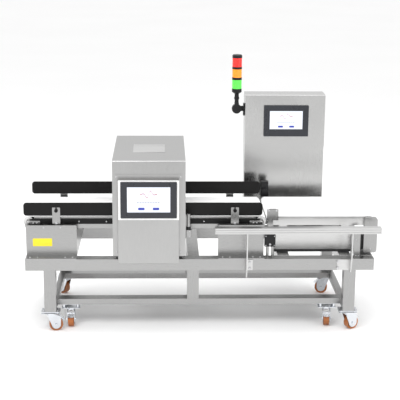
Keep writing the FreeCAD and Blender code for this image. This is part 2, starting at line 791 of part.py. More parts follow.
# ---------------------------------------------------------------- product rail
def build_product_rail():
    x0, x1 = rail_x
    front = -rail_front
    back = front + rail_depth
    top = rail_bottom + rail_bar_height
    cap = 3.0
    g = rail_groove
    step = rail_bar_height / 3
    outline = [(back, rail_bottom), (back, top), (front, top), (front, top - step + g),
               (front + g, top - step + g), (front + g, top - step), (front, top - step),
               (front, rail_bottom + step), (front + g, rail_bottom + step),
               (front + g, rail_bottom + step - g), (front, rail_bottom + step - g),
               (front, rail_bottom)]
    profile = polygon(outline, "yz", x0 + cap, x1 - x0 - 2 * cap)
    channel = box(x0 + cap, x1 - cap, front + 8, back - 4, rail_bottom + 4, top - 4)
    add("product_rail", profile.cut(channel))
    for x in (x0, x1 - cap):
        add("product_rail", box(x, x + cap, front, back, rail_bottom, top))
    face = -frame_width / 2
    for x, low, direction in ((left_bar_x, left_bar_bottom, 1), (right_bar_x, frame_low, -1)):
        tip = face - 14
        web = polygon([(face, frame_low + 2), (face, frame_top - 2), (tip, frame_top + 14),
                       (back - 6, rail_bottom), (front + 6, rail_bottom), (front + 12, low + 70),
                       (tip - 22, low), (tip, low)], "yz", x, bar_thick)
        start, end = (x + bar_thick, x + bar_thick + 30) if direction > 0 else (x - 62, x)
        flange = box(start, end, face - 5, face, frame_low + 2, frame_top - 2)
        add("product_rail", [web, flange])


# ---------------------------------------------------------------- guides
def build_guides():
    lift = guide_lift
    stud_z = guide_bottom + 28
    for name, (x0, x1), side in (("guide_front", front_guide, -1), ("guide_rear", rear_guide, 1)):
        y0 = side * guide_y
        board = rounded(x0, x1, guide_bottom, guide_bottom + guide_height, guide_corner, "xz",
                        min(y0, y0 + side * guide_thick), guide_thick)
        for x in guide_bracket_x:
            outer = guide_y + guide_thick
            stud = rod("y", (x, min(side * outer, side * (outer + 12)), stud_z), 12, stud_radius)
            wing = rod("y", (x, min(side * (outer + 3.6 + gap), side * (outer + 11.6 + gap)),
                             stud_z), 8, 9)
            board = board.fuse([stud, wing])
        add(name, board.removeSplitter())
    plate_in = guide_y + guide_thick + gap
    plate_out = plate_in + 3
    for side in (-1, 1):
        for x in guide_bracket_x:
            half = guide_bracket_width / 2
            low = rail_top - rail_height
            plate = box(x - half, x + half, side * plate_in, side * plate_out, low,
                        guide_bottom + 44)
            plate = fillet(plate, 4, "y", lambda c: c.z > guide_bottom)
            slot = hull([(x, stud_z, stud_radius + gap), (x, stud_z + lift, stud_radius + gap)],
                        "xz", min(side * plate_in, side * plate_out) - 1, 5)
            block = box(x - half + 8, x + half - 8, side * rail_outer_y, side * plate_in, low,
                        rail_top - 6)
            add("guide_brackets", plate.cut(slot).fuse(block).removeSplitter())


# ---------------------------------------------------------------- photo eyes
def build_photo_eyes():
    # front: two posts on the beam carry a clamp block and the receiver plate
    y = -frame_inner - 12
    for x in (345, 372):
        add("sensor_brackets", rod("z", (x, y, frame_top), 56, 7))
    block = fillet(box(329, 385, y - 15, y + 15, frame_top + 56, frame_top + 117), 4, "z")
    add("photo_eyes", block)
    add("sensor_brackets", box(345, 372, y + 6, y + 9, frame_top + 117, belt_top + 6))
    add("sensor_brackets", box(340, 399, y + 9, y + 12, belt_top - 6, 638))
    add("photo_eyes", fillet(box(352, 388, y + 12, y + 30, belt_top + 14, 636), 3, "z"))
    # rear: reflector on a post behind the belt, with a clamp knob
    add("sensor_brackets", rod("z", (370, frame_inner + 12, frame_top), belt_top - 10 - frame_top,
                               7))
    rear = fillet(box(350, 392, frame_inner - 13, frame_inner + 26, belt_top - 10, 660), 4, "z")
    add("photo_eyes", rear)
    knob = rod("y", (370, frame_inner - 25, 612), 12, 14)
    add("photo_eyes", knob)


# ---------------------------------------------------------------- cabinet
def cabinet_profile(shrink):
    front = cabinet_front + shrink
    low_front = cabinet_front + cabinet_step + shrink
    return [(front, cabinet_top - shrink), (cabinet_back - shrink, cabinet_top - shrink),
            (cabinet_back - shrink, frame_top + shrink), (low_front, frame_top + shrink),
            (low_front, cabinet_lip_z + shrink), (front, cabinet_lip_z + shrink)]


def build_cabinet():
    wall = cabinet_wall
    rim = door_opening_rim
    width = cabinet_right - cabinet_left

    def round_top(shape):
        return fillet(shape, 5, "x", lambda c: c.z > cabinet_top - 1 and c.y < cabinet_mid_y)

    # the two side sheets, and the rim that each turns round the door's opening
    for start, low in ((cabinet_left, cabinet_left + wall), (cabinet_right - wall,
                                                             cabinet_right - rim)):
        add("cabinet_shell", round_top(polygon(cabinet_profile(0), "yz", start, wall)))
        add("cabinet_shell", box(low, low + rim - wall, cabinet_back - wall, cabinet_back,
                                 frame_top + rim, cabinet_top - rim))
    # one folded sheet between them: roof, front, the step in it, floor and the rim's ends
    sheet = round_top(polygon(cabinet_profile(0), "yz", cabinet_left + wall, width - 2 * wall))
    sheet = sheet.cut(polygon(cabinet_profile(wall), "yz", cabinet_left, width))
    sheet = sheet.cut(box(cabinet_left, cabinet_right, cabinet_back - wall - 1, cabinet_back + 1,
                          frame_top + rim, cabinet_top - rim))
    add("cabinet_shell", sheet)
    operator_panel(365, 612, 901, 1074, 33, 31, 41, cabinet_front)

    # inside: a mounting plate with the supply, the controller and the terminal row
    wall = cabinet_front + cabinet_step + cabinet_wall
    plate_y = wall + 8
    x0, x1 = cabinet_left + 40, cabinet_right - 40
    add("control_units", box(x0, x1, plate_y, plate_y + 2, frame_top + 60, cabinet_lip_z - 30))
    for x in (x0 + 12, x1 - 12):
        for z in (frame_top + 72, cabinet_lip_z - 42):
            add("control_units", hexagon(x, z, 10, "xz", wall, plate_y - wall))
    face = plate_y + 2
    for left, right, low, high, deep in ((20, 130, 250, 350, 45), (150, 330, 240, 350, 50),
                                         (20, 330, 120, 170, 35), (20, 330, 40, 80, 30)):
        add("control_units", box(x0 + left, x0 + right, face, face + deep,
                                 frame_top + 60 + low, frame_top + 60 + high))


def hinge_heights():
    return [frame_top + 110, cabinet_top - 170]


def build_door():
    barrel = 4.0
    pin_radius = 2.0
    length = 60.0
    third = length / 3
    hinge_x = cabinet_right + barrel
    hinge_y = cabinet_back + 2.0
    y0 = cabinet_back + door_gap
    y1 = y0 + door_thick
    right = cabinet_right - 0.5
    door = rounded(cabinet_left, right, frame_top + door_margin, cabinet_top - door_margin, 4,
                   "xz", y0, door_thick)
    for low in hinge_heights():
        # the middle knuckle is the door's, the outer two and the pin are the cabinet's
        leafs = box(right - 1, hinge_x, y0, y1, low + third + gap, low + 2 * third - gap)
        knuckle = rod("z", (hinge_x, hinge_y, low + third + gap), third - 2 * gap, barrel)
        door = door.fuse([leafs, knuckle])
        door = door.cut(rod("z", (hinge_x, hinge_y, low), length, pin_radius + running))
        fixed = rod("z", (hinge_x, hinge_y, low), length, pin_radius)
        for z in (low, low + 2 * third):
            fixed = fixed.fuse([rod("z", (hinge_x, hinge_y, z), third, barrel),
                                box(cabinet_right, cabinet_right + 2, hinge_y - 24, hinge_y, z,
                                    z + third)])
        strap = box(cabinet_right, cabinet_right + 2, hinge_y - 24, hinge_y - 8, low,
                    low + length)
        add("cabinet_shell", fixed.fuse(strap).removeSplitter())
    door = door.cut(rod("y", (latch_x, y0 - 1, latch_z), door_thick + 2, 5 + running))
    add("cabinet_door", door.removeSplitter())
    knob = rod("y", (latch_x, y1 + gap, latch_z), 6, 13)
    wing = box(latch_x - 3, latch_x + 3, y1 + gap + 6, y1 + 14, latch_z - 12, latch_z + 12)
    stem = rod("y", (latch_x, y0 - 8, latch_z), y1 + gap - y0 + 8, 5)
    cam = hull([(latch_x, latch_z - 26, 5), (latch_x, latch_z, 6)], "xz", y0 - 8, 3)
    add("door_latch", knob.fuse([wing, stem, cam]).removeSplitter())


# ---------------------------------------------------------------- stack light
def build_stack_light():
    arm_low, arm_high = knuckle_z - 14, knuckle_z + 14
    fixed = rod("y", (light_x, light_y + leaf, knuckle_z), knuckle_half, knuckle_radius)
    arm = box(light_x, cabinet_left - 8, light_y + leaf, light_y + leaf + knuckle_half, arm_low,
              arm_high)
    plate = rounded(light_y - 17, light_y + 17, knuckle_z - 37, knuckle_z + 31, 6, "yz",
                    cabinet_left - 8, 8)
    pin = rod("y", (light_x, light_y - leaf - knuckle_half - 2, knuckle_z),
              knuckle_half + 2 * leaf + 2, 5)
    add("light_bracket", fixed.fuse([arm, plate, pin]).removeSplitter())

    half = rod("y", (light_x, light_y - leaf - knuckle_half, knuckle_z), knuckle_half,
               knuckle_radius)
    saddle_z = knuckle_z + knuckle_radius + 2
    post = box(light_x - 12, light_x + 12, light_y - leaf - knuckle_half, light_y - leaf,
               knuckle_z + 12, saddle_z + 6)
    saddle = box(light_x - 12, light_x + 12, light_y - leaf - knuckle_half,
                 light_y + leaf + knuckle_half, saddle_z, saddle_z + 6)
    neck = light_neck
    full = light_radius
    tiers = [1157.0, 1206.0, 1220.0, 1265.0, 1278.0, 1326.0, 1344.0]
    stem = lathe([(0, saddle_z + 3), (neck - 1, saddle_z + 3), (neck - 1, 1098), (neck + 1.5, 1098),
                  (neck + 1.5, 1109), (neck - 0.5, 1109), (neck - 0.5, 1127), (full, 1138),
                  (full, tiers[0]), (8, tiers[0]), (8, tiers[1]), (full, tiers[1]),
                  (full, tiers[2]), (8, tiers[2]), (8, tiers[3]), (full, tiers[3]),
                  (full, tiers[4]), (8, tiers[4]), (8, tiers[5]), (full, tiers[5]),
                  (full, tiers[6] - 4), (full - 4, tiers[6]), (0, tiers[6])],
                 (light_x, light_y, 0), "z")
    column = half.cut(rod("y", (light_x, light_y - leaf - knuckle_half - 1, knuckle_z),
                          knuckle_half + 2, 5 + running))
    add("light_column", stem.fuse([saddle, post, column]).removeSplitter())
    for name, low, high in (("lens_green", tiers[0], tiers[1]), ("lens_amber", tiers[2], tiers[3]),
                            ("lens_red", tiers[4], tiers[5])):
        add(name, lathe([(full - lens_wall, low), (full - 0.5, low), (full - 0.5, high),
                         (full - lens_wall, high)], (light_x, light_y, 0), "z"))


def build_all():
    build_frame()
    build_legs()
    build_low_frame()
    build_casters()
    build_detector_conveyor()
    build_stands()
    build_head()
    build_control_cover()
    build_head_fitting()
    build_weigher()
    build_weigher_base()
    build_weigher_drive()
    build_transport_stop()
    build_product_rail()
    build_guides()
    build_photo_eyes()
    build_cabinet()
    build_door()
    build_stack_light()


def export_all():
    os.makedirs("parts", exist_ok=True)
    for name, solids in nodes.items():
        for solid in solids:
            solid.translate(centre)
        shape = solids[0] if len(solids) == 1 else Part.makeCompound(solids)
        shape.exportStep("parts/%s.step" % name)


build_all()
export_all()
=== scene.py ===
import bpy
import bmesh
import math
from mathutils import Matrix, Vector


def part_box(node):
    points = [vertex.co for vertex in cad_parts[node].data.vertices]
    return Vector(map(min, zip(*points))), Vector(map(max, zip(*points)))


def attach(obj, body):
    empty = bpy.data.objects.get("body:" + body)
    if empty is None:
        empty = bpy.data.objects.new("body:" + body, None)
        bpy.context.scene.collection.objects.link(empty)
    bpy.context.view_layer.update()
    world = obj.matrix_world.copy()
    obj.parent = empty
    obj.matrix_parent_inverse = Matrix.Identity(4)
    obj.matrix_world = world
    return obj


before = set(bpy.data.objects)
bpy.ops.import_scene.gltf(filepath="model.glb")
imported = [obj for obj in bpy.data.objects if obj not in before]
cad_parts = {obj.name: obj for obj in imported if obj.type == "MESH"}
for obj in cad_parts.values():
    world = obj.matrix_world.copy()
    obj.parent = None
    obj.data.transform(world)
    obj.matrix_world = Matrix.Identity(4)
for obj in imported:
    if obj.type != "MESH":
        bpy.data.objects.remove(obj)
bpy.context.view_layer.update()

# ------------------------------------------------------------ places
# Pieces are laid out in millimetres from the middle of the wheeled frame, +Z up from the floor.
leg_low, leg_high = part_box("leg_frame")
OX = (leg_low[0] + leg_high[0]) / 2
OY = (leg_low[1] + leg_high[1]) / 2

FOOT_TOP = 109
LOW_RAIL_TOP = 152
BEAM_LOW = 331
BEAM_TOP = 391
BEAM_INNER_Y = 255
BEAM_OUTER_Y = 315
LEG_HALF = 30
FRONT_LEG_X = 768
REAR_LEG_X = 735
LEG_Y = 285
HEAD_ROOF = 903
COVER_FRONT_Y = -347.5
BEZEL_DEPTH = 8
GLASS_RECESS = 0.3
CABINET_PANEL_Y = 314


def at(x, y, z):
    return Vector((x / 1000 + OX, y / 1000 + OY, z / 1000))


# ------------------------------------------------------------ camera
CAMERA_PLACE = (-186.9, -5752.6, 2124.8)
CAMERA_YAW = 1.92166
CAMERA_PITCH = 14.65103
CAMERA_ROLL = 0.44721
CAMERA_LENS = 100.8


def build_camera():
    yaw, pitch, roll = (math.radians(a) for a in (CAMERA_YAW, CAMERA_PITCH, CAMERA_ROLL))
    right = Vector((math.cos(yaw), -math.sin(yaw), 0))
    ahead = Vector((math.sin(yaw) * math.cos(pitch), math.cos(yaw) * math.cos(pitch),
                    -math.sin(pitch)))
    up = right.cross(ahead)
    side = right * math.cos(roll) + up * math.sin(roll)
    top = up * math.cos(roll) - right * math.sin(roll)
    place = Matrix((side, top, -ahead)).transposed().to_4x4()
    place.translation = at(*CAMERA_PLACE)
    data = bpy.data.cameras.new("camera")
    data.sensor_width = 36.0
    data.lens = CAMERA_LENS
    data.clip_end = 50
    cam = bpy.data.objects.new("camera", data)
    bpy.context.scene.collection.objects.link(cam)
    cam.matrix_world = place
    bpy.context.scene.camera = cam


build_camera()


# ------------------------------------------------------------ materials
class Mat:
    """A Principled material whose colour, roughness and bump come from procedural nodes."""

    def __init__(self, name, color, rough, metal=0.0, spec=0.5, coat=0.0):
        self.m = bpy.data.materials.new(name)
        self.m.use_nodes = True
        self.n = self.m.node_tree.nodes
        self.l = self.m.node_tree.links
        self.b = self.n["Principled BSDF"]
        self.b.inputs["Base Color"].default_value = (*color, 1)
        self.b.inputs["Roughness"].default_value = rough
        self.b.inputs["Metallic"].default_value = metal
        self.b.inputs["Specular IOR Level"].default_value = spec
        self.b.inputs["Coat Weight"].default_value = coat
        self.coord = self.n.new("ShaderNodeTexCoord")

    def noise(self, scale, stretch=(1, 1, 1), detail=4, rough=0.6):
        mp = self.n.new("ShaderNodeMapping")
        mp.inputs["Scale"].default_value = stretch
        self.l.new(self.coord.outputs["Object"], mp.inputs["Vector"])
        t = self.n.new("ShaderNodeTexNoise")
        t.inputs["Scale"].default_value = scale
        t.inputs["Detail"].default_value = detail
        t.inputs["Roughness"].default_value = rough
        self.l.new(mp.outputs["Vector"], t.inputs["Vector"])
        return t.outputs["Fac"]

    def ramp(self, fac, stops):
        r = self.n.new("ShaderNodeValToRGB")
        e = r.color_ramp.elements
        while len(e) < len(stops):
            e.new(0.5)
        for el, (p, col) in zip(e, stops):
            el.position = p
            el.color = (*col, 1) if isinstance(col, tuple) else (col, col, col, 1)
        self.l.new(fac, r.inputs["Fac"])
        return r.outputs["Color"]

    def multiply(self, a, b):
        x = self.n.new("ShaderNodeMix")
        x.data_type = "RGBA"
        x.blend_type = "MULTIPLY"
        x.inputs[0].default_value = 1.0
        self.l.new(a, x.inputs[6])
        self.l.new(b, x.inputs[7])
        return x.outputs[2]

    def color(self, out):
        self.l.new(out, self.b.inputs["Base Color"])

    def rough(self, out):
        self.l.new(out, self.b.inputs["Roughness"])

    def bump(self, fac, strength, distance):
        b = self.n.new("ShaderNodeBump")
        b.inputs["Strength"].default_value = strength
        b.inputs["Distance"].default_value = distance
        self.l.new(fac, b.inputs["Height"])
        old = self.b.inputs["Normal"].links
        if old:
            self.l.new(old[0].from_socket, b.inputs["Normal"])
        self.l.new(b.outputs["Normal"], self.b.inputs["Normal"])


def steel(name, along, tone=0.60, low=0.26, high=0.42):
    """Brushed stainless sheet: fine lines along one axis, with soft cloudy handling marks."""
    m = Mat(name, (tone, tone, tone), 0.34, metal=1.0)
    stretch = {"x": (0.5, 22, 22), "y": (22, 0.5, 22), "z": (22, 22, 0.5)}[along]
    lines = m.noise(45, stretch, 5, 0.7)
    cloud = m.noise(3.2, (1, 1, 1), 3, 0.5)
    dark = (tone * 0.90, tone * 0.90, tone * 0.90)
    light = (tone * 1.08, tone * 1.075, tone * 1.06)
    m.color(m.multiply(m.ramp(lines, [(0.25, dark), (0.75, light)]),
                       m.ramp(cloud, [(0.3, 0.93), (0.7, 1.0)])))
    m.rough(m.multiply(m.ramp(lines, [(0.3, low), (0.7, high)]),
                       m.ramp(cloud, [(0.35, 0.82), (0.65, 1.0)])))
    m.bump(lines, 0.05, 0.0004)
    return m.m


def plain(name, color, rough, grain, depth, spread=0.12, metal=0.0, spec=0.5, coat=0.0):
    """Moulded or coated surface with a fine grain and slightly uneven colour."""
    m = Mat(name, color, rough, metal, spec, coat)
    cloud = m.noise(9, (1, 1, 1), 4, 0.6)
    fine = m.noise(grain, (1, 1, 1), 3, 0.5)
    dark = tuple(c * (1 - spread) for c in color)
    light = tuple(min(1, c * (1 + spread)) for c in color)
    m.color(m.ramp(cloud, [(0.3, dark), (0.7, light)]))
    m.rough(m.ramp(cloud, [(0.3, max(0.02, rough - 0.06)), (0.7, min(1, rough + 0.06))]))
    m.bump(fine, 0.25, depth)
    return m.m


STEEL_X = steel("stainless_x", "x", 0.37)
STEEL_Y = steel("stainless_y", "y", 0.40)
STEEL_Z = steel("stainless_z", "z", 0.36)
STEEL_BASE = steel("stainless_base", "x", 0.60)
STEEL_CAB = steel("stainless_cabinet", "z", 0.50, 0.22, 0.34)
STEEL_HEAD = steel("stainless_head", "z", 0.42, 0.30, 0.46)
ZINC = plain("zinc", (0.66, 0.68, 0.71), 0.24, 700, 0.0002, 0.10, metal=1.0)
BOLT = plain("bolt_steel", (0.55, 0.55, 0.56), 0.30, 900, 0.0001, 0.08, metal=1.0)
ALLOY = steel("alloy", "x", 0.58, 0.30, 0.42)
GROUND = steel("ground_steel", "y", 0.62, 0.18, 0.28)
BLACK = plain("black_board", (0.006, 0.0055, 0.0055), 0.46, 900, 0.0003, 0.25, spec=0.2)
BLACK_RAIL = plain("black_rail", (0.006, 0.006, 0.006), 0.42, 700, 0.0002, 0.25, spec=0.2)
BLACK_PART = plain("black_part", (0.008, 0.008, 0.009), 0.40, 800, 0.0003, 0.2, spec=0.3)
MOTOR = plain("motor_coat", (0.018, 0.018, 0.019), 0.45, 1400, 0.0005, 0.2)
RUBBER = plain("rubber", (0.020, 0.020, 0.021), 0.62, 1200, 0.0004, 0.2)
WHITE_LINER = plain("white_liner", (0.82, 0.82, 0.80), 0.34, 600, 0.0002, 0.04)
BOX_GREY = plain("box_grey", (0.10, 0.11, 0.12), 0.46, 1500, 0.0004, 0.12)
TYRE = plain("tyre", (0.36, 0.115, 0.028), 0.42, 500, 0.0003, 0.25)
BEZEL = plain("bezel", (0.016, 0.018, 0.024), 0.30, 900, 0.0002, 0.12)


def belt_material():
    m = Mat("belting", (0.90, 0.90, 0.90), 0.36)
    weave = m.noise(900, (1, 1, 1), 2, 0.5)
    band = m.noise(4, (0.15, 5, 0.15), 3, 0.5)
    m.color(m.ramp(band, [(0.3, (0.86, 0.86, 0.87)), (0.7, (0.94, 0.94, 0.93))]))
    m.rough(m.ramp(band, [(0.3, 0.30), (0.7, 0.42)]))
    m.bump(weave, 0.2, 0.0002)
    return m.m


def lens_material(name, color, glow):
    m = Mat(name, color, 0.22, coat=0.3)
    cloud = m.noise(60, (1, 1, 0.2), 3, 0.5)
    dark = tuple(c * 0.82 for c in color)
    m.color(m.ramp(cloud, [(0.3, dark), (0.7, color)]))
    ridge = m.n.new("ShaderNodeTexWave")
    ridge.bands_direction = "Z"
    ridge.inputs["Scale"].default_value = 60
    m.l.new(m.coord.outputs["Object"], ridge.inputs["Vector"])
    m.bump(ridge.outputs["Fac"], 0.5, 0.0006)
    m.b.inputs["Emission Color"].default_value = (*color, 1)
    m.b.inputs["Emission Strength"].default_value = glow
    m.b.inputs["Subsurface Weight"].default_value = 0.15
    return m.m


def lit(name, color, strength, rough=0.2):
    m = Mat(name, tuple(c * 0.2 for c in color), rough, coat=0.4)
    cloud = m.noise(12, (1, 1, 1), 2, 0.5)
    tint = m.ramp(cloud, [(0.2, tuple(c * 0.97 for c in color)), (0.8, color)])
    m.l.new(tint, m.b.inputs["Emission Color"])
    m.b.inputs["Emission Strength"].default_value = strength
    return m.m


BELT = belt_material()
GLASS = plain("display_glass", (0.012, 0.013, 0.016), 0.10, 300, 0.00002, 0.1, coat=0.5)
SCREEN = lit("screen_lit", (0.86, 0.90, 1.0), 0.95)
BUTTON = lit("screen_button", (0.02, 0.04, 0.42), 0.9)
INK = lit("screen_line", (0.16, 0.18, 0.24), 0.7)
TRACE = lit("screen_trace", (0.50, 0.02, 0.03), 0.9)

node_material = {
    "upper_frame": STEEL_X, "leg_frame": STEEL_Z, "caster_plates": ZINC, "side_rails": BLACK_RAIL,
    "bed_frame": STEEL_X, "conveyor_belts": BELT, "roller_brackets": STEEL_X,
    "conveyor_stands": STEEL_X, "control_units": BOX_GREY, "head_casing": STEEL_HEAD,
    "tunnel_liner": WHITE_LINER, "detector_coil": WHITE_LINER, "control_cover": STEEL_HEAD,
    "panel_bezels": BEZEL, "panel_glasses": GLASS, "isolation_pads": RUBBER,
    "weigher_frame": ALLOY, "weigher_base": STEEL_BASE, "load_cell": ALLOY, "drive_cover": STEEL_Z,
    "weigher_motor": MOTOR, "timing_belt": RUBBER, "product_rail": ALLOY, "photo_eyes": BLACK_PART,
    "sensor_brackets": STEEL_Z, "guide_brackets": STEEL_Z, "cabinet_shell": STEEL_CAB,
    "light_bracket": BLACK_PART, "cabinet_door": STEEL_CAB, "door_latch": BLACK_PART,
    "light_column": BLACK_PART, "guide_front": BLACK, "guide_rear": BLACK,
    "infeed_roller": GROUND, "transfer_roller": GROUND, "weigher_tail_roller": GROUND,
    "weigher_drive_roller": GROUND, "motor_pulley": GROUND,
    "lens_red": lens_material("lens_red", (0.80, 0.015, 0.01), 0.55),
    "lens_amber": lens_material("lens_amber", (0.90, 0.24, 0.01), 0.60),
    "lens_green": lens_material("lens_green", (0.09, 0.62, 0.07), 0.55),
}
for i in range(1, 7):
    node_material["caster_fork_%d" % i] = ZINC
    node_material["caster_wheel_%d" % i] = TYRE
    node_material["caster_pedal_%d" % i] = ZINC

EDGE_WIDTH = 0.0006
no_bevel = ("conveyor_belts", "panel_glasses", "timing_belt", "lens_red", "lens_amber",
            "lens_green")
for name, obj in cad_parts.items():
    for s in obj.material_slots:
        s.material = node_material[name]
    if not obj.material_slots:
        obj.data.materials.append(node_material[name])
    if name not in no_bevel:
        b = obj.modifiers.new("edge", "BEVEL")
        b.width = EDGE_WIDTH
        b.segments = 2
        b.limit_method = "ANGLE"
        b.angle_limit = math.radians(35)
        b.harden_normals = False


# ------------------------------------------------------------ mesh helpers
def finish_mesh(name, bm, material, body):
    me = bpy.data.meshes.new(name)
    bmesh.ops.recalc_face_normals(bm, faces=bm.faces)
    bm.to_mesh(me)
    bm.free()
    me.shade_smooth()
    me.set_sharp_from_angle(angle=math.radians(32))
    me.materials.append(material)
    o = bpy.data.objects.new(name, me)
    bpy.context.scene.collection.objects.link(o)
    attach(o, body)
    return o


def slab(bm, x0, x1, y0, y1, z0, z1, bevel=0.0):
    made = bmesh.ops.create_cube(bm, size=1.0)["verts"]
    low = at(min(x0, x1), min(y0, y1), min(z0, z1))
    high = at(max(x0, x1), max(y0, y1), max(z0, z1))
    for v in made:
        v.co = Vector([low[i] if v.co[i] < 0 else high[i] for i in range(3)])
    if bevel:
        edges = list({e for v in made for e in v.link_edges})
        bmesh.ops.bevel(bm, geom=edges, offset=bevel / 1000, segments=2, affect="EDGES",
                        profile=0.5)


def turn_to(normal):
    return Vector((0, 0, 1)).rotation_difference(Vector(normal).normalized()).to_matrix()


def lathe(bm, profile, where, normal, segs=24):
    """A turned piece from (radius, height) points in mm, standing on where along normal."""
    rot = turn_to(normal)
    base = at(*where)
    rings = []
    for r, h in profile:
        if r < 1e-6:
            rings.append([bm.verts.new(base + rot @ Vector((0, 0, h / 1000)))])
        else:
            rings.append([bm.verts.new(base + rot @ Vector((r / 1000 * math.cos(a),
                                                             r / 1000 * math.sin(a), h / 1000)))
                          for a in (2 * math.pi * i / segs for i in range(segs))])
    for a, b in zip(rings, rings[1:]):
        if len(a) == 1 and len(b) == 1:
            continue
        for i in range(segs):
            j = (i + 1) % segs
            if len(a) == 1:
                bm.faces.new((a[0], b[i], b[j]))
            elif len(b) == 1:
                bm.faces.new((a[i], b[0], a[j]))
            else:
                bm.faces.new((a[i], b[i], b[j], a[j]))


def hex_head(bm, where, normal, across=11.0, height=4.5, washer=True):
    if washer:
        lathe(bm, [(0, 0), (across * 0.75, 0), (across * 0.75, 0.9), (across * 0.70, 1.2),
                   (0, 1.2)], where, normal, 20)
    base = Vector(where) + Vector(normal).normalized() * (1.2 if washer else 0)
    r = across / math.sqrt(3)
    lathe(bm, [(0, 0), (r, 0), (r, height - 0.8), (r - 0.8, height), (r * 0.5, height),
               (r * 0.45, height - 0.3), (0, height - 0.3)], tuple(base), normal, 6)


def socket_head(bm, where, normal, radius=4.0, height=2.6):
    """Button head with a six-sided recess."""
    lathe(bm, [(0, 0), (radius, 0), (radius, height * 0.25), (radius * 0.93, height * 0.6),
               (radius * 0.72, height * 0.9), (radius * 0.5, height)], where, normal, 24)
    lathe(bm, [(radius * 0.5, height), (radius * 0.42, height - 0.1),
               (radius * 0.40, height * 0.35), (0, height * 0.3)], where, normal, 6)


def weld(bm, a, b, radius=1.6, step=4.0):
    """A bead of overlapping ripples along a straight joint."""
    a, b = Vector(a), Vector(b)
    run = b - a
    count = max(2, int(run.length / step))
    rot = turn_to(run)
    segs = 8
    rings = []
    for i in range(count * 3 + 1):
        t = i / (count * 3)
        r = radius * (0.82 + 0.18 * math.cos(2 * math.pi * (t * count)))
        if i in (0, count * 3):
            r *= 0.4
        p = at(*(a + run * t))
        rings.append([bm.verts.new(p + rot @ Vector((r / 1000 * math.cos(k),
                                                     r / 1000 * math.sin(k), 0)))
                      for k in (2 * math.pi * j / segs for j in range(segs))])
    for p, q in zip(rings, rings[1:]):
        for i in range(segs):
            j = (i + 1) % segs
            bm.faces.new((p[i], q[i], q[j], p[j]))
    bm.faces.new(rings[0])
    bm.faces.new(list(reversed(rings[-1])))


# ------------------------------------------------------------ fasteners
def build_fasteners():
    bm = bmesh.new()
    stand_foot_z = BEAM_TOP + 4
    for side in (-1, 1):
        for x in (-866, -828, -688, -650, 114, 152, 269, 307):
            socket_head(bm, (x, side * 292, stand_foot_z), (0, 0, 1), 5, 3)
        for x in (-798, -712, 182, 245):
            socket_head(bm, (x, side * 253, 541), (0, side, 0), 4.2, 2.6)
        for x in (-853, -835, 274, 292):
            socket_head(bm, (x, side * 222, 556), (0, side, 0), 4.5, 2.8)
        for x in (-734, 178):
            hex_head(bm, (x, side * 234.3, 557), (0, side, 0), 10, 4)
    # head flange, drive cover and the stop strip beside it
    for x in (-424, -102):
        for z in (430, 821):
            socket_head(bm, (x, -315.5, z), (0, -1, 0), 4.2, 2.6)
    socket_head(bm, (880.5, -236, 418), (0, -1, 0), 4.2, 2.6)
    for x in (801, 816):
        socket_head(bm, (x, -268, BEAM_TOP + 3), (0, 0, 1), 4, 2.6)
    socket_head(bm, (802, -258, 474), (0, -1, 0), 4, 2.6)
    for x in (350, 389):
        socket_head(bm, (x, -258, 630), (0, -1, 0), 4.2, 2.6)
    # product rail brackets on the front beam
    for x in (253, 704):
        for z in (345, 377):
            hex_head(bm, (x, -320, z), (0, -1, 0), 10, 4.5)
    # bolts that hold the corner casters' foot plates
    for leg_x, y in ((FRONT_LEG_X, -LEG_Y), (REAR_LEG_X, LEG_Y)):
        for x in (-leg_x, leg_x):
            for i in (-1, 1):
                for j in (-1, 1):
                    hex_head(bm, (x + i * 36.5, y + j * 20, FOOT_TOP), (0, 0, 1), 6.5, 4, False)
    # clamp block of the sensor post, and the key switch beside the head
    socket_head(bm, (357, -282, 458), (0, -1, 0), 6, 3.5)
    for x in (335, 379):
        for z in (453, 502):
            socket_head(bm, (x, -282, z), (0, -1, 0), 3, 2)
    for z in (508, 534):
        socket_head(bm, (-57, -300, z), (0, -1, 0), 3.2, 2)
    for x in (-620, -480, 20):
        socket_head(bm, (x, -216, 563), (0, -1, 0), 4, 2.4)
    finish_mesh("fasteners", bm, BOLT, "machine")


# ------------------------------------------------------------ screens
def rounded_plate(bm, x0, x1, z0, z1, y, thick, radius, segs=6):
    """Thin plate facing -Y with rounded corners."""
    front, back = [], []
    for cx, cz, start in ((x1 - radius, z1 - radius, 0), (x0 + radius, z1 - radius, 90),
                          (x0 + radius, z0 + radius, 180), (x1 - radius, z0 + radius, 270)):
        for i in range(segs + 1):
            a = math.radians(start + 90 * i / segs)
            px, pz = cx + radius * math.cos(a), cz + radius * math.sin(a)
            front.append(bm.verts.new(at(px, y - thick, pz)))
            back.append(bm.verts.new(at(px, y, pz)))
    bm.faces.new(front)
    bm.faces.new(list(reversed(back)))
    n = len(front)
    for i in range(n):
        j = (i + 1) % n
        bm.faces.new((front[i], back[i], back[j], front[j]))


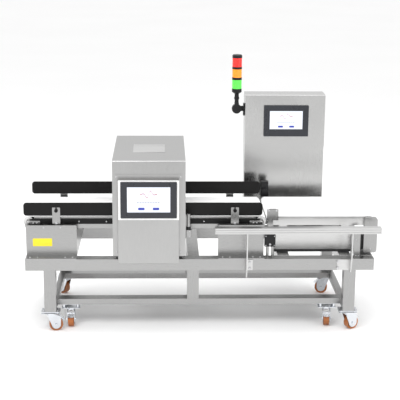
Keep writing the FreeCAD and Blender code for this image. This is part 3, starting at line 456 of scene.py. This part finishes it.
def build_screen(tag, x0, x1, z0, z1, y):
    """A lit display with a trace, a row of dashes and two buttons, set just before the glass."""
    bm = bmesh.new()
    rounded_plate(bm, x0, x1, z0, z1, y, 0.25, 0.6, 2)
    finish_mesh("display_%s" % tag, bm, SCREEN, "machine")
    w, h = x1 - x0, z1 - z0
    mid = (x0 + x1) / 2
    bm = bmesh.new()
    for cx in (mid - w * 0.17, mid + w * 0.17):
        rounded_plate(bm, cx - w * 0.075, cx + w * 0.075, z0 + h * 0.09, z0 + h * 0.19, y - 0.25,
                      0.2, h * 0.03)
    finish_mesh("display_buttons_%s" % tag, bm, BUTTON, "machine")
    bm = bmesh.new()
    for i in range(9):
        a = mid - w * 0.27 + i * w * 0.06
        rounded_plate(bm, a, a + w * 0.042, z0 + h * 0.375, z0 + h * 0.40, y - 0.25, 0.2,
                      h * 0.008, 2)
    finish_mesh("display_dashes_%s" % tag, bm, INK, "machine")
    # signal trace: a smooth rise and fall drawn as a ribbon
    bm = bmesh.new()
    steps = 60
    top, low = [], []
    for i in range(steps + 1):
        t = i / steps
        px = mid - w * 0.2 + w * 0.4 * t
        g = math.sin(t * math.pi * 4) * math.exp(-((t - 0.5) / 0.24) ** 2)
        pz = z0 + h * (0.72 + 0.17 * g)
        top.append(bm.verts.new(at(px, y - 0.45, pz + h * 0.012)))
        low.append(bm.verts.new(at(px, y - 0.45, pz - h * 0.012)))
    for i in range(steps):
        bm.faces.new((top[i], low[i], low[i + 1], top[i + 1]))
    bmesh.ops.solidify(bm, geom=bm.faces[:], thickness=0.0002)
    finish_mesh("display_trace_%s" % tag, bm, TRACE, "machine")


def build_panels():
    glass_y = COVER_FRONT_Y - BEZEL_DEPTH + GLASS_RECESS
    build_screen("head", -369, -154, 649, 778, glass_y)
    build_screen("cabinet", 398, 580, 942, 1043, CABINET_PANEL_Y + GLASS_RECESS)
    # bright surround plate round the head's panel
    white = plain("surround_white", (0.86, 0.86, 0.86), 0.35, 500, 0.0001, 0.02)
    bm = bmesh.new()
    for x0, x1, z0, z1 in ((-413, -402.3, 608, 810), (-120.7, -110, 608, 810),
                           (-402.3, -120.7, 608, 617.7), (-402.3, -120.7, 804.3, 810)):
        slab(bm, x0, x1, COVER_FRONT_Y - 1.2, COVER_FRONT_Y, z0, z1)
    finish_mesh("panel_surround", bm, white, "machine")
    # blank plate on the left stand
    yellow = plain("yellow_plate", (0.86, 0.68, 0.02), 0.36, 400, 0.0001, 0.05)
    bm = bmesh.new()
    rounded_plate(bm, -854, -756, 443, 484, -253, 0.8, 3)
    finish_mesh("yellow_plate", bm, yellow, "machine")


# ------------------------------------------------------------ welds and plates
def build_welds():
    """Beads where the legs, posts, rails and cross tubes of the frame meet."""
    bm = bmesh.new()
    for side in (-1, 1):
        leg_x = FRONT_LEG_X if side < 0 else REAR_LEG_X
        inner, outer = side * BEAM_INNER_Y, side * BEAM_OUTER_Y
        for x in (-leg_x, leg_x):
            low_x, high_x = x - LEG_HALF, x + LEG_HALF
            for edge_x in (low_x, high_x):
                weld(bm, (edge_x, inner, BEAM_LOW), (edge_x, outer, BEAM_LOW))
            weld(bm, (low_x, inner, BEAM_LOW), (high_x, inner, BEAM_LOW))
            weld(bm, (low_x, outer, FOOT_TOP + 0.6), (high_x, outer, FOOT_TOP + 0.6))
        for x in (-750, 750):
            weld(bm, (x - 15, inner, LOW_RAIL_TOP), (x + 15, inner, LOW_RAIL_TOP))
        for y in (240, 180):
            for z in (LOW_RAIL_TOP, BEAM_LOW):
                weld(bm, (-65, side * y, z), (-5, side * y, z))
        for x in (-860, -35, 430, 750, 860):
            weld(bm, (x - 30, inner, BEAM_TOP), (x + 30, inner, BEAM_TOP))
    for x in (343, 623):
        weld(bm, (x - 20, BEAM_OUTER_Y, BEAM_TOP), (x + 20, BEAM_OUTER_Y, BEAM_TOP))
    finish_mesh("weld_beads", bm, STEEL_Y, "machine")


def build_roof_plate():
    """Bare plate riveted on the roof of the detector head."""
    bm = bmesh.new()
    top = HEAD_ROOF + 1.2
    rivet = [(0, 0), (2.6, 0), (2.2, 0.8), (1.2, 1.3), (0, 1.4)]
    slab(bm, -345, -180, -110, 85, HEAD_ROOF, top, 0.5)
    for x in (-337, -188):
        for y in (-102, 77):
            lathe(bm, rivet, (x, y, top), (0, 0, 1), 16)
    finish_mesh("roof_plate", bm, ALLOY, "machine")


build_fasteners()
build_welds()
build_roof_plate()
build_panels()


# ------------------------------------------------------------ studio
def area_light(name, place, target, size, power):
    data = bpy.data.lights.new(name, "AREA")
    data.shape = "RECTANGLE"
    data.size, data.size_y = size
    data.energy = power
    lamp = bpy.data.objects.new(name, data)
    bpy.context.scene.collection.objects.link(lamp)
    lamp.location = place
    lamp.rotation_euler = (Vector(target) - Vector(place)).to_track_quat("-Z", "Y").to_euler()


def build_studio():
    """White floor that runs past the view, white surroundings and three soft lights."""
    bpy.ops.mesh.primitive_plane_add(size=160, location=(0, 40, 0))
    floor = bpy.context.object
    floor.name = "floor"
    m = Mat("floor", (0.97, 0.97, 0.97), 0.6)
    cloud = m.noise(0.6, (1, 1, 1), 2, 0.5)
    m.color(m.ramp(cloud, [(0.3, (0.96, 0.96, 0.96)), (0.7, (0.98, 0.98, 0.98))]))
    floor.data.materials.append(m.m)
    world = bpy.data.worlds.new("studio")
    world.use_nodes = True
    world.node_tree.nodes["Background"].inputs[0].default_value = (1, 1, 1, 1)
    world.node_tree.nodes["Background"].inputs[1].default_value = 1.0
    scene = bpy.context.scene
    scene.world = world
    area_light("key", (-1.6, -2.6, 3.6), (0, 0, 0.5), (2.4, 2.0), 70)
    area_light("fill", (2.8, -2.2, 2.2), (0, 0, 0.5), (2.0, 2.0), 30)
    area_light("top", (0, 0.3, 3.8), (0, 0, 0), (4.0, 2.5), 60)
    scene.view_settings.view_transform = "Standard"
    scene.view_settings.look = "None"


build_studio()
